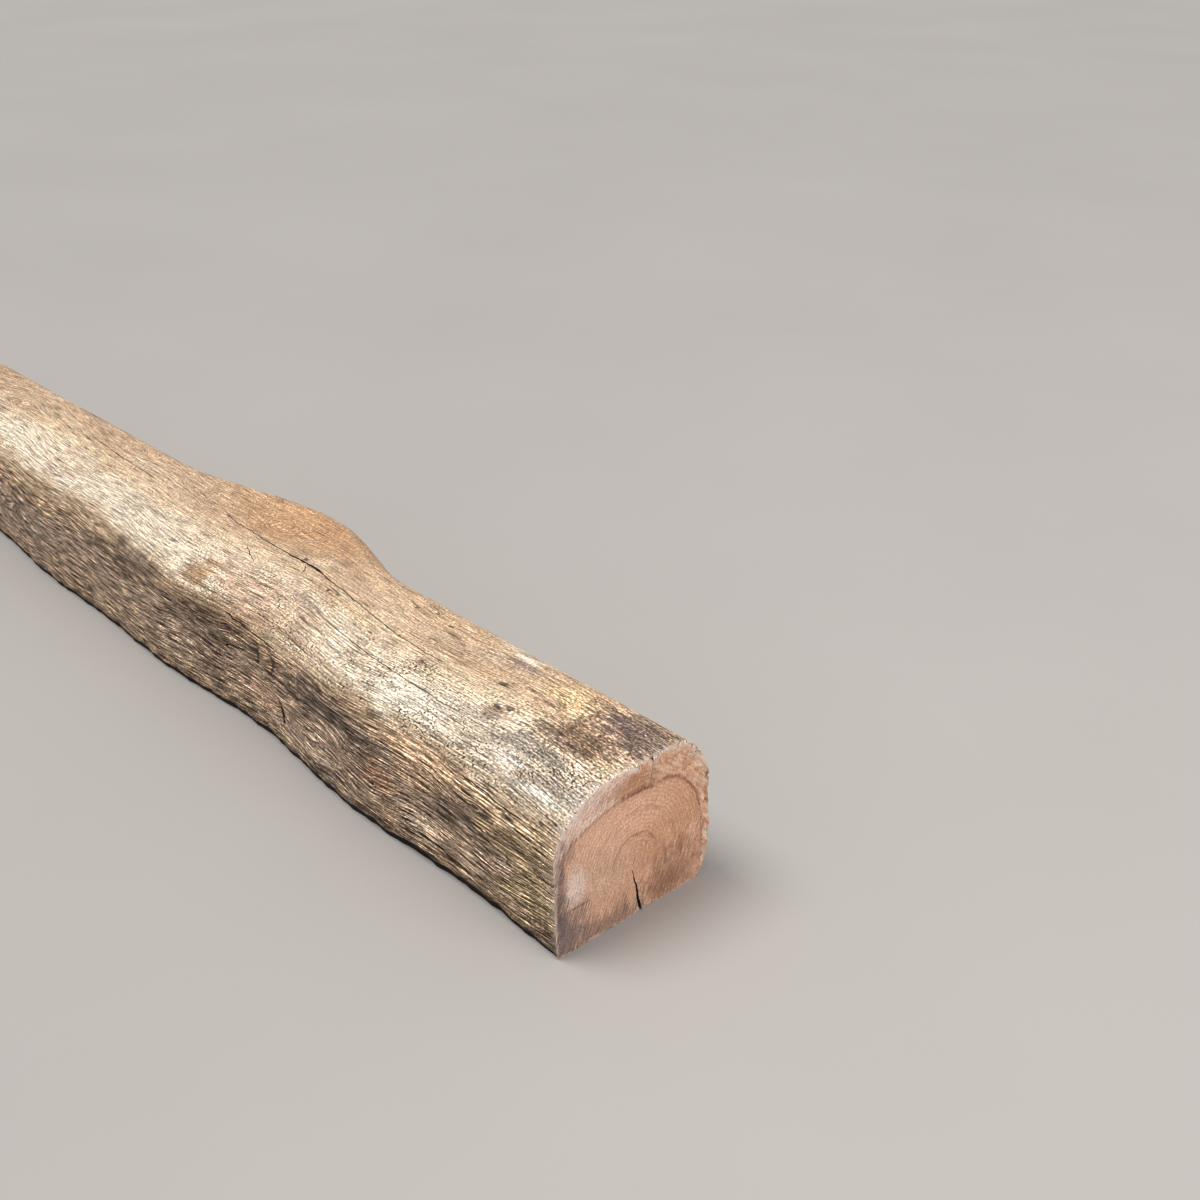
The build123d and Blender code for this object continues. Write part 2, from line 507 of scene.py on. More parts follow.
def torn_depth(ring, depth):
    """How far the saw cut's points sink: a little everywhere, and in lumps along the torn rim."""
    places = [Vector(point) for point in ring]
    rough = np.array([noise.noise(place * 90) for place in places])
    lump = np.array([noise.noise(place * 75 + Vector((3, 7, 1))) for place in places])
    crumb = np.array([noise.noise(place * 170 + Vector((5, 2, 9))) for place in places])
    across = ring[:, 1] - FACE_Y
    torn = np.interp(across, TORN_ACROSS, (0, 1)) * np.interp(ring[:, 2], TORN_UP, (0, 1))
    reach = np.interp(across, TORN_REACH_ACROSS, TORN_REACHES) + TORN_REACH_SWING * lump
    torn *= np.clip((reach - depth) / TORN_FADE, 0, 1)
    return SAW_ROUGHNESS * (1 + rough) + torn * TORN_DEPTH * np.clip(0.45 + 1.4 * lump + 1.2 * crumb, 0, 1)


def from_heart_line(ring):
    """Distance of an end's points from the heart line: above 0 in the sapwood, below it in the heart."""
    line = np.array(HEART_LINE)
    start, leg = line[:-1], np.diff(line, axis=0)
    places = np.column_stack([ring[:, 1] - FACE_Y, ring[:, 2]])
    away = places[:, None, :] - start
    share = np.clip((away * leg).sum(axis=2) / (leg * leg).sum(axis=1), 0, 1)
    distance = np.linalg.norm(away - share[:, :, None] * leg, axis=2).min(axis=1)
    top = np.interp(places[:, 0], line[1:-1, 0], line[1:-1, 1])
    left, right = line[:HEART_LEFT_POINTS], line[HEART_RIGHT_START:]
    beside = places[:, 0] < np.interp(places[:, 1], left[:, 1], left[:, 0])
    beside |= places[:, 0] > np.interp(-places[:, 1], -right[:, 1], right[:, 0])
    outside = (places[:, 1] > top) & (places[:, 1] > HEART_SHOULDER) | beside
    return np.where(outside, distance, -distance)


def cap_rings(outline, pith, count):
    """Rings from an end's outline in to its pith, close together at the rim."""
    share = np.linspace(0, 1, count + 1)[1:-1]
    return [outline + (pith - outline) * inward for inward in share**RING_CROWDING]


def end_cap(skin, row, ring_count, start):
    """An end's points from its outline in to its pith, their depths inside the rim, and its quads and fan."""
    sawn = row == 0
    outline = skin.points[row]
    plane_x = SAWN_X if sawn else SAWN_X - LENGTH
    pith = np.array([plane_x, PITH_Y, PITH_Z])
    rings = cap_rings(outline, pith, ring_count)
    column = np.arange(skin.columns)
    outer = row * skin.columns + column
    depths, quads = [], []
    for order, ring in enumerate(rings):
        depth = np.linalg.norm((ring - outline)[:, 1:], axis=1)
        ring[:, 0] = plane_x
        if sawn:
            ring[:, 0] -= torn_depth(ring, depth)
        depths.append(depth)
        inner = start + order * skin.columns + column
        quads.append(np.column_stack([outer, np.roll(outer, -1), np.roll(inner, -1), inner]))
        outer = inner
    tip = start + len(rings) * skin.columns
    fan = np.column_stack([outer, np.roll(outer, -1), np.full(skin.columns, tip)])
    depths.append([np.linalg.norm((pith - outline)[:, 1:], axis=1).min()])
    facing = -1 if sawn else 1
    return np.vstack([*rings, pith]), np.concatenate(depths), np.vstack(quads)[:, ::facing], fan[:, ::facing]


def quad_corners(grid):
    """A grid's values at the four corners of each of its quads, row by row."""
    return np.stack([grid[:-1, :-1], grid[:-1, 1:], grid[1:, 1:], grid[1:, :-1]], axis=2).reshape(-1, 4)


def furrow_depths(skin):
    """Furrow depth of each of the skin's points."""
    girth = np.minimum(skin.girth[:, :-1], FURROW_GIRTHS[-1])
    from_end = np.minimum(skin.distance, LENGTH - skin.distance)
    end_fade = np.clip(from_end / FURROW_FADE, END_FURROW_SHARE, 1)
    foot_fade = np.clip(skin.points[:, :, 2] / FURROW_FADE, 0, 1)
    return (np.interp(girth, FURROW_GIRTHS, FURROW_DEPTHS) * end_fade[:, None] * foot_fade).ravel()


def skin_mesh(skin):
    """One closed mesh of the skin's grid and its two sawn ends, with its maps and attributes."""
    rows, columns = skin.points.shape[:2]
    flank = skin.points.reshape(-1, 3)
    index = np.arange(len(flank)).reshape(rows, columns)
    flank_quads = quad_corners(np.concatenate([index, index[:, :1]], axis=1))
    sawn_points, sawn_depths, sawn_quads, sawn_fan = end_cap(skin, 0, SAWN_RINGS, len(flank))
    far_start = len(flank) + len(sawn_points)
    far_points, far_depths, far_quads, far_fan = end_cap(skin, rows - 1, FAR_RINGS, far_start)
    points = np.vstack([flank, sawn_points, far_points])
    quads = np.vstack([flank_quads, sawn_quads, far_quads])
    fans = np.vstack([sawn_fan, far_fan])
    mesh = bpy.data.meshes.new("oak_beam_skin")
    mesh.from_pydata(points.tolist(), [], quads.tolist() + fans.tolist())

    along = quad_corners(np.broadcast_to(skin.distance[:, None], skin.girth.shape))
    for name, grid in (("girth", skin.girth), ("grain", skin.course)):
        flank_map = np.stack([along, quad_corners(grid)], axis=2).reshape(-1, 2)
        whole_map = np.zeros((len(mesh.loops), 2))
        whole_map[: len(flank_map)] = flank_map
        mesh.uv_layers.new(name=name).data.foreach_set("uv", whole_map.ravel())
    on_end = np.arange(len(mesh.polygons)) >= len(flank_quads)
    mesh.attributes.new("sawn", "BOOLEAN", "FACE").data.foreach_set("value", on_end)
    # The sole and the undercut under the lip are marked for the near-black painted shade that the flank's
    # shader lays there.
    on_sole = np.zeros((rows, columns))
    on_sole[:, FLANK_COLUMNS + 1:] = 1
    flank_zeros, end_zeros = np.zeros(len(flank)), np.zeros(len(points) - len(flank))
    point_values = {
        "furrow_depth": np.concatenate([furrow_depths(skin), end_zeros]),
        "sole": np.concatenate([on_sole.ravel(), end_zeros]),
        "rim_depth": np.concatenate([flank_zeros, sawn_depths, far_depths]),
        "from_heart": from_heart_line(points),
    }
    for name, values in point_values.items():
        mesh.attributes.new(name, "FLOAT", "POINT").data.foreach_set("value", values)
    mesh.update()
    return mesh


def geometry_tree(name, sizes):
    """An empty Geometry Nodes tree with a geometry input and output and named size inputs."""
    tree = bpy.data.node_groups.new(name, "GeometryNodeTree")
    tree.interface.new_socket("Geometry", in_out="INPUT", socket_type="NodeSocketGeometry")
    for size, value in sizes.items():
        socket = tree.interface.new_socket(size, in_out="INPUT", socket_type="NodeSocketFloat")
        socket.default_value = value
    tree.interface.new_socket("Geometry", in_out="OUTPUT", socket_type="NodeSocketGeometry")
    desk = Desk(tree)
    entry = desk.node("NodeGroupInput")
    return tree, desk, entry


def finish_tree(desk, geometry, *materials):
    """Ends a tree: realizes it, sets its materials and gives it out."""
    geometry = desk.node("GeometryNodeRealizeInstances", {}, {"Geometry": geometry})
    for material, selection in materials:
        sockets = {"Geometry": geometry, "Material": material}
        if selection is not None:
            sockets["Selection"] = selection
        geometry = desk.node("GeometryNodeSetMaterial", {}, sockets)
    desk.node("NodeGroupOutput", {}, {"Geometry": geometry})


def run_tree(piece, tree, sizes):
    """Runs a tree on a piece and keeps the result as the piece's plain mesh."""
    modifier = piece.modifiers.new(tree.name, "NODES")
    modifier.node_group = tree
    sockets = {item.name: item.identifier for item in tree.interface.items_tree if item.in_out == "INPUT"}
    for size, value in sizes.items():
        modifier[sockets[size]] = value
    keep_evaluated(piece)


def keep_evaluated(piece):
    """Turns a piece and its modifiers into a plain mesh."""
    bpy.context.view_layer.update()
    graph = bpy.context.evaluated_depsgraph_get()
    result = piece.evaluated_get(graph)
    mesh = bpy.data.meshes.new_from_object(result, preserve_all_data_layers=True, depsgraph=graph)
    old = piece.data
    piece.modifiers.clear()
    piece.data = mesh
    mesh.name = piece.name
    bpy.data.meshes.remove(old)


# Relief at which the skin stays on the solid's face, and the sizes of the furrows and the broader hollows.
MEAN_RELIEF = 0.65
FURROW_SIZES = {
    "Furrow Length": 0.20,
    "Furrow Width": 0.0017,
    "Hollow Length": 0.24,
    "Hollow Width": 0.018,
    "Wander": 0.012,
    "Seed": float(SEED),
}


def furrow_tree(weathered, sawn):
    """Furrows the grain into a skin: each point sinks or rises by its relief times its furrow depth."""
    tree, desk, entry = geometry_tree("furrowed_grain", FURROW_SIZES)
    size = entry.output
    place = desk.node("GeometryNodeInputPosition")
    x, y, z = (desk.node("ShaderNodeSeparateXYZ", {}, {0: place}).output(axis) for axis in "XYZ")
    drift_vector = desk.vector(x * 3.0 + size("Seed"), y * 6.0, z * 6.0)
    drift = (desk.noise(drift_vector, detail=1.0) - 0.5) * size("Wander")
    across, up = y + drift, z - drift
    furrow_length, furrow_width = size("Furrow Length"), size("Furrow Width")
    furrow_vector = desk.vector(x / furrow_length + size("Seed"), across / furrow_width, up / furrow_width)
    furrow = desk.noise(furrow_vector, detail=1.0, rough=0.5)
    groove = desk.step(1 - abs(furrow * 2 - 1), 0.72, 1.0)
    hollow_length, hollow_width = size("Hollow Length"), size("Hollow Width")
    hollow_vector = desk.vector(x / hollow_length, across / hollow_width, up / hollow_width + size("Seed"))
    hollow = desk.step(desk.noise(hollow_vector, detail=1.5), 0.3, 0.75)
    relief = furrow * 0.6 + groove * 0.5 + hollow * 0.5
    depth = desk.node("GeometryNodeInputNamedAttribute", {"data_type": "FLOAT"}, {"Name": "furrow_depth"})
    normal = desk.node("GeometryNodeInputNormal")
    sink = desk.shade(normal, (MEAN_RELIEF - relief) * depth)
    moved = desk.node("GeometryNodeSetPosition", {}, {"Geometry": entry, "Offset": sink})
    settings = {"data_type": "FLOAT", "domain": "POINT"}
    sockets = {"Geometry": moved, "Name": "relief", "Value": relief}
    stored = desk.node("GeometryNodeStoreNamedAttribute", settings, sockets)
    on_end = desk.node("GeometryNodeInputNamedAttribute", {"data_type": "BOOLEAN"}, {"Name": "sawn"})
    finish_tree(desk, stored, (weathered, None), (sawn, on_end))
    return tree


def new_piece(name, data):
    """An object of a mesh, a light or a camera, put into the scene."""
    piece = bpy.data.objects.new(name, data)
    bpy.context.scene.collection.objects.link(piece)
    return piece


# Drying checks are cut by thin blades, which stand proud of the skin and narrow to a share of their width and
# depth at their tips.
BLADE_PROUD = 0.004
CHECK_PITCH = 0.006
CHECK_JAG = 0.0005
CHECK_TAPER_SHARE = 0.18
CHECK_TIP_SHARE = 0.06
FEWEST_STATIONS = 6
END_CHECK_STATIONS = 26
END_CHECK_JAG = 0.0004
END_CHECK_TIP_SHARE = 0.08


def blade(stations):
    """A closed thin wedge through stations of three points each: two lips and a tip."""
    points = [tuple(point) for station in stations for point in station]
    faces = [(0, 1, 2)]
    for k in range(len(stations) - 1):
        a, b = 3 * k, 3 * k + 3
        for i in range(3):
            j = (i + 1) % 3
            faces.append((a + j, a + i, b + i))
            faces.append((a + j, b + i, b + j))
    last = 3 * (len(stations) - 1)
    faces.append((last + 2, last + 1, last))
    return points, faces


def flank_check(skin, route, width, depth):
    """Blade of a check in the flank along a route of distances, girths and shares of its width."""
    route = np.array([(*place, 1.0)[:3] for place in route])
    legs = np.concatenate([[0], np.cumsum(np.hypot(*np.diff(route[:, :2], axis=0).T))])
    steps = max(int(legs[-1] / CHECK_PITCH), FEWEST_STATIONS)
    reach = np.linspace(0, legs[-1], steps)
    distance, girth, share = (np.interp(reach, legs, route[:, k]) for k in range(3))
    from_tip = np.minimum(reach, legs[-1] - reach)
    ends = np.clip(from_tip / (CHECK_TAPER_SHARE * legs[-1]), CHECK_TIP_SHARE, 1)
    girth = girth + rng.normal(0, CHECK_JAG, steps) * ends
    half = 0.5 * width * share * ends * rng.uniform(0.6, 1.2, steps)
    spots = [skin.at(distance[k], girth[k]) for k in range(steps)]
    points = np.array([spot[0] for spot in spots])
    normals = np.array([spot[1] for spot in spots])
    tangent = np.gradient(points, axis=0)
    side = np.cross(tangent, normals)
    side /= np.linalg.norm(side, axis=1, keepdims=True)
    stations = []
    for k in range(steps):
        lip = points[k] + normals[k] * BLADE_PROUD
        tip = points[k] - normals[k] * depth * ends[k]
        stations.append((lip + side[k] * half[k], lip - side[k] * half[k], tip))
    return blade(stations)


def end_check(across, foot, head, lean, width, run):
    """Blade of a check in the sawn end, from a foot height to a head where it closes."""
    shares = np.linspace(0, 1, END_CHECK_STATIONS)
    jags = np.cumsum(rng.normal(0, END_CHECK_JAG, END_CHECK_STATIONS))
    rising = 1 if head > foot else -1
    front = SAWN_X + BLADE_PROUD
    stations = []
    for share, jag in zip(shares, jags):
        gape = max(1 - share, END_CHECK_TIP_SHARE)
        z = foot + (head - foot) * share
        y = FACE_Y + across - lean * share + jag
        half = rising * 0.5 * width * gape**0.6 * rng.uniform(0.7, 1.1)
        stations.append(((front, y + half, z), (front, y - half, z), (SAWN_X - run * gape, y, z)))
    return blade(stations)


# Checks in the flank: the route, its width and its depth. A third number widens or narrows a place.
FLANK_CHECKS = (
    (((0.225, 0.2315, 0.3), (0.27, 0.236, 0.4), (0.36, 0.241, 0.5), (0.49, 0.2475, 0.5), (0.55, 0.252, 0.6),
      (0.575, 0.2565, 1.3), (0.60, 0.257, 1.2), (0.63, 0.257, 0.8), (0.665, 0.261, 0.6), (0.695, 0.265, 0.5),
      (0.72, 0.269, 0.4), (0.76, 0.270, 0.4), (0.83, 0.283, 0.4), (0.875, 0.295, 0.3)), 0.0036, 0.022),
    (((0.19, 0.189), (0.25, 0.191), (0.31, 0.1935), (0.40, 0.198), (0.50, 0.199)), 0.0019, 0.008),
    (((0.44, 0.154), (0.52, 0.157), (0.60, 0.160)), 0.0013, 0.006),
    (((0.36, 0.099), (0.44, 0.098), (0.50, 0.0985), (0.56, 0.0995)), 0.0040, 0.009),
    (((0.28, 0.107), (0.33, 0.110), (0.40, 0.112)), 0.0030, 0.007),
    (((0.30, 0.085), (0.34, 0.089), (0.385, 0.0925)), 0.0032, 0.007),
    (((0.125, 0.019), (0.175, 0.027), (0.23, 0.033)), 0.0048, 0.010),
    (((0.40, 0.050), (0.46, 0.052)), 0.0028, 0.006),
    (((0.42, 0.020), (0.49, 0.021)), 0.0032, 0.006),
    (((0.57, 0.107), (0.60, 0.100), (0.64, 0.090)), 0.0032, 0.007),
    (((0.08, 0.092), (0.11, 0.095), (0.15, 0.091)), 0.0028, 0.006),
    (((0.005, 0.135), (0.08, 0.133), (0.18, 0.137)), 0.0022, 0.006),
    (((0.50, 0.132), (0.58, 0.1345), (0.64, 0.141)), 0.0030, 0.007),
    (((0.95, 0.255), (1.10, 0.258), (1.25, 0.264)), 0.0018, 0.009),
    (((1.30, 0.070), (1.45, 0.075), (1.60, 0.078)), 0.0022, 0.009),
    (((0.20, 0.400), (0.50, 0.405), (0.75, 0.400)), 0.0024, 0.010),
    (((0.90, 0.430), (1.20, 0.420), (1.50, 0.425)), 0.0022, 0.010),
)

# Checks that cross the grain or another check, given in the same way.
CROSS_CHECKS = (
    (((0.505, 0.068), (0.508, 0.060), (0.503, 0.050), (0.505, 0.042), (0.498, 0.034)), 0.0070, 0.008),
    (((0.597, 0.2545), (0.585, 0.243), (0.581, 0.235)), 0.0026, 0.005),
    (((0.64, 0.2135), (0.67, 0.228), (0.69, 0.240)), 0.0026, 0.005),
    (((0.059, 0.215), (0.0585, 0.238), (0.060, 0.260)), 0.0014, 0.003),
)

# Checks in the sawn end: across from the hewn face's datum, foot, head, lean, width and run along the beam.
END_CHECKS = (
    (0.1175, -0.004, 0.058, 0.0115, 0.0052, 0.24),
    (0.1300, 0.186, 0.147, 0.003, 0.0016, 0.012),
)


def cut_checks(piece, skin, inside):
    """Cuts the drying checks into the piece: those that cross another are cut after the rest."""
    blades = [flank_check(skin, *check) for check in FLANK_CHECKS]
    crossing = [flank_check(skin, *check) for check in CROSS_CHECKS]
    crossing.extend(end_check(*check) for check in END_CHECKS)
    for group in (blades, crossing):
        points, faces = [], []
        for corners, sides in group:
            start = len(points)
            points.extend(corners)
            faces.extend(tuple(start + corner for corner in side) for side in sides)
        mesh = bpy.data.meshes.new("check_blades")
        mesh.from_pydata(points, [], faces)
        # The cut's inside faces take a dark colour that is partly the wood's own and partly painted shade.
        mesh.materials.append(inside)
        cutter = new_piece("check_blades", mesh)
        cut = piece.modifiers.new("checks", "BOOLEAN")
        cut.operation = "DIFFERENCE"
        cut.solver = "MANIFOLD"
        cut.material_mode = "TRANSFER"
        cut.object = cutter
        keep_evaluated(piece)
        bpy.data.objects.remove(cutter)
        bpy.data.meshes.remove(mesh)


# Materials.

# The weathered flank's ground colour by girth, from the foot of the hewn face round to the back.
BAND_GIRTH = 0.5
BAND_STOPS = (
    (0.000, tint(108, 86, 66)),
    (0.040, tint(134, 114, 94)),
    (0.120, tint(138, 117, 99)),
    (0.200, tint(130, 111, 94)),
    (0.244, tint(122, 101, 81)),
    (0.264, tint(134, 110, 86)),
    (0.290, tint(170, 146, 118)),
    (0.312, tint(206, 184, 157)),
    (0.340, tint(228, 210, 187)),
    (0.400, tint(227, 206, 180)),
    (0.470, tint(222, 193, 159)),
    (0.540, tint(197, 166, 136)),
    (0.600, tint(201, 169, 137)),
    (0.690, tint(198, 164, 130)),
    (0.740, tint(178, 150, 124)),
    (0.800, tint(148, 126, 106)),
    (1.000, tint(134, 113, 94)),
)

# Stains and faded patches on the flank, with a painted shadow along the foot of the hewn face and a painted
# highlight on the swelling's crest: distance, girth, reach along, reach round, colour, share.
PATCHES = (
    (0.035, 0.045, 0.045, 0.026, (126, 107, 80), 0.85),
    (0.060, 0.095, 0.080, 0.022, (130, 111, 84), 0.8),
    (0.160, 0.092, 0.026, 0.014, (86, 72, 60), 0.85),
    (0.160, 0.073, 0.060, 0.012, (106, 90, 76), 0.75),
    (0.212, 0.047, 0.036, 0.014, (184, 164, 140), 0.7),
    (0.283, 0.066, 0.034, 0.024, (150, 117, 92), 0.9),
    (0.395, 0.018, 0.045, 0.013, (70, 59, 50), 0.9),
    # A painted shadow along the foot of the hewn face.
    (0.300, 0.003, 0.120, 0.007, (70, 58, 48), 0.8),
    (0.360, 0.116, 0.110, 0.018, (96, 81, 68), 0.85),
    (0.410, 0.110, 0.055, 0.016, (72, 61, 53), 0.85),
    (0.375, 0.074, 0.055, 0.016, (120, 100, 84), 0.75),
    (0.450, 0.040, 0.070, 0.014, (176, 156, 136), 0.5),
    (0.515, 0.110, 0.020, 0.014, (92, 70, 56), 0.7),
    (0.550, 0.110, 0.010, 0.014, (110, 84, 68), 0.6),
    (0.620, 0.118, 0.012, 0.008, (84, 54, 46), 0.8),
    (0.665, 0.095, 0.048, 0.045, (86, 70, 57), 0.85),
    (0.560, 0.055, 0.070, 0.030, (148, 122, 99), 0.6),
    (0.220, 0.105, 0.034, 0.016, (160, 130, 104), 0.7),
    (0.012, 0.012, 0.020, 0.016, (82, 68, 52), 0.8),
    (0.220, 0.130, 0.090, 0.010, (192, 160, 128), 0.7),
    (0.060, 0.128, 0.070, 0.008, (196, 171, 136), 0.5),
    (0.090, 0.172, 0.120, 0.030, (182, 163, 141), 0.75),
    (0.085, 0.200, 0.050, 0.012, (134, 124, 112), 0.8),
    (0.035, 0.178, 0.040, 0.010, (156, 145, 131), 0.7),
    (0.185, 0.198, 0.040, 0.006, (166, 152, 135), 0.6),
    (0.110, 0.157, 0.045, 0.005, (172, 158, 140), 0.6),
    (0.115, 0.176, 0.032, 0.009, (228, 216, 200), 0.6),
    (0.060, 0.165, 0.030, 0.005, (236, 226, 212), 0.6),
    (0.290, 0.172, 0.070, 0.018, (246, 232, 208), 0.7),
    (0.235, 0.159, 0.022, 0.003, (140, 132, 128), 0.7),
    (0.068, 0.242, 0.052, 0.030, (112, 85, 62), 0.9),
    (0.080, 0.225, 0.012, 0.005, (110, 92, 84), 0.7),
    (0.178, 0.211, 0.016, 0.009, (156, 130, 108), 0.8),
    (0.140, 0.285, 0.035, 0.017, (224, 190, 144), 0.75),
    (0.030, 0.288, 0.060, 0.040, (106, 89, 79), 0.9),
    (0.060, 0.295, 0.022, 0.024, (114, 95, 89), 0.7),
    (0.230, 0.307, 0.020, 0.006, (244, 230, 206), 0.8),
    (0.225, 0.292, 0.030, 0.008, (160, 138, 132), 0.7),
    (0.265, 0.257, 0.050, 0.010, (194, 158, 124), 0.6),
    (0.530, 0.202, 0.035, 0.007, (150, 140, 132), 0.7),
    (0.580, 0.175, 0.130, 0.034, (196, 162, 130), 0.7),
    (0.620, 0.175, 0.050, 0.016, (218, 184, 158), 0.6),
    (0.700, 0.168, 0.025, 0.020, (166, 130, 94), 0.8),
    (0.700, 0.335, 0.150, 0.062, (194, 149, 109), 0.75),
    (0.645, 0.280, 0.030, 0.012, (190, 152, 114), 0.6),
    # A painted highlight on the swelling's crest.
    (0.740, 0.345, 0.040, 0.020, (222, 178, 134), 0.6),
    (0.450, 0.300, 0.100, 0.014, (208, 174, 142), 0.5),
    (0.550, 0.285, 0.030, 0.008, (194, 160, 128), 0.5),
    (0.420, 0.275, 0.070, 0.012, (232, 200, 168), 0.5),
    (0.860, 0.125, 0.070, 0.025, (92, 78, 66), 0.8),
    (0.950, 0.200, 0.150, 0.030, (210, 194, 172), 0.5),
    (1.200, 0.060, 0.100, 0.030, (114, 99, 86), 0.6),
    (1.350, 0.260, 0.120, 0.030, (200, 170, 138), 0.6),
    (1.600, 0.220, 0.150, 0.040, (184, 168, 150), 0.6),
    (1.550, 0.090, 0.120, 0.025, (154, 132, 110), 0.5),
    (0.400, 0.420, 0.150, 0.030, (114, 98, 86), 0.6),
    (0.900, 0.410, 0.200, 0.030, (154, 130, 108), 0.5),
    (1.400, 0.430, 0.150, 0.030, (112, 96, 82), 0.6),
)

# Small dark spots: knots and specks in the wood, and painted shade in and beside the checks and hollows:
# distance, girth, reach along, reach round.
SPOTS = (
    (0.168, 0.2260, 0.0060, 0.0036),
    (0.210, 0.2530, 0.0070, 0.0036),
    (0.304, 0.0560, 0.0045, 0.0028),
    (0.124, 0.1140, 0.0060, 0.0020),
    (0.416, 0.0610, 0.0040, 0.0030),
    (0.417, 0.2960, 0.0045, 0.0028),
    (0.388, 0.3060, 0.0042, 0.0028),
    (0.608, 0.2630, 0.0036, 0.0024),
    (0.508, 0.2390, 0.0045, 0.0022),
    (0.526, 0.2360, 0.0040, 0.0022),
    (0.014, 0.1500, 0.0032, 0.0018),
    (0.030, 0.1430, 0.0034, 0.0016),
    (0.505, 0.0620, 0.0060, 0.0050),
    (0.515, 0.1160, 0.0070, 0.0045),
    (0.548, 0.1180, 0.0035, 0.0060),
    (0.620, 0.1170, 0.0090, 0.0050),
    (0.152, 0.0225, 0.0260, 0.0016),
    (0.205, 0.0300, 0.0260, 0.0016),
    (0.072, 0.0780, 0.0040, 0.0050),
    (0.395, 0.0590, 0.0060, 0.0024),
    (0.500, 0.0380, 0.0060, 0.0040),
    (0.506, 0.0500, 0.0034, 0.0100),
    (0.516, 0.1060, 0.0040, 0.0100),
    (0.552, 0.1060, 0.0030, 0.0090),
    (0.604, 0.1180, 0.0090, 0.0028),
    (0.410, 0.1150, 0.0050, 0.0022),
    (0.515, 0.2410, 0.0060, 0.0016),
    (0.352, 0.2980, 0.0040, 0.0020),
    (0.150, 0.2820, 0.0060, 0.0026),
    (0.180, 0.2190, 0.0080, 0.0030),
    (0.072, 0.2260, 0.0080, 0.0030),
    (0.094, 0.2330, 0.0060, 0.0026),
    (0.404, 0.2205, 0.0050, 0.0020),
    (0.310, 0.2240, 0.0050, 0.0016),
)

# Patches that change the flank's texture, placed as the stains are: one calmer, and one dirtier.
CALM_PATCH = (0.64, 0.295, 0.20, 0.06)
DIRTY_PATCH = (0.05, 0.262, 0.11, 0.075)

# How much lighter the hewn face is than its band says, in doublings, and the pitch of the stripes along its
# upper arris.
HEWN_LIFT = 0.35
STRIPE_PITCH = 0.0036

# The swelling's knot: its place, and the pitch of its rings, which lie closer round the beam than along it.
SWELL_KNOT = (0.700, 0.312)
SWELL_RING_PITCH = 0.0085
SWELL_RING_SQUEEZE = 1.7


def patch_mask(desk, place, edge, patch, soft=(1.45, 0.45)):
    """1 inside an oval patch on a plane, and 0 outside it, with the edge broken up."""
    first, second, long, wide = patch[:4]
    settings = {"operation": "MULTIPLY_ADD"}
    scale, shift = (1 / long, 1 / wide, 0), (-first / long, -second / wide, 0)
    centred = desk.node("ShaderNodeVectorMath", settings, {0: place, 1: scale, 2: shift})
    distance = desk.node("ShaderNodeVectorMath", {"operation": "LENGTH"}, {0: centred}, output="Value")
    return desk.step(distance + edge, *soft)


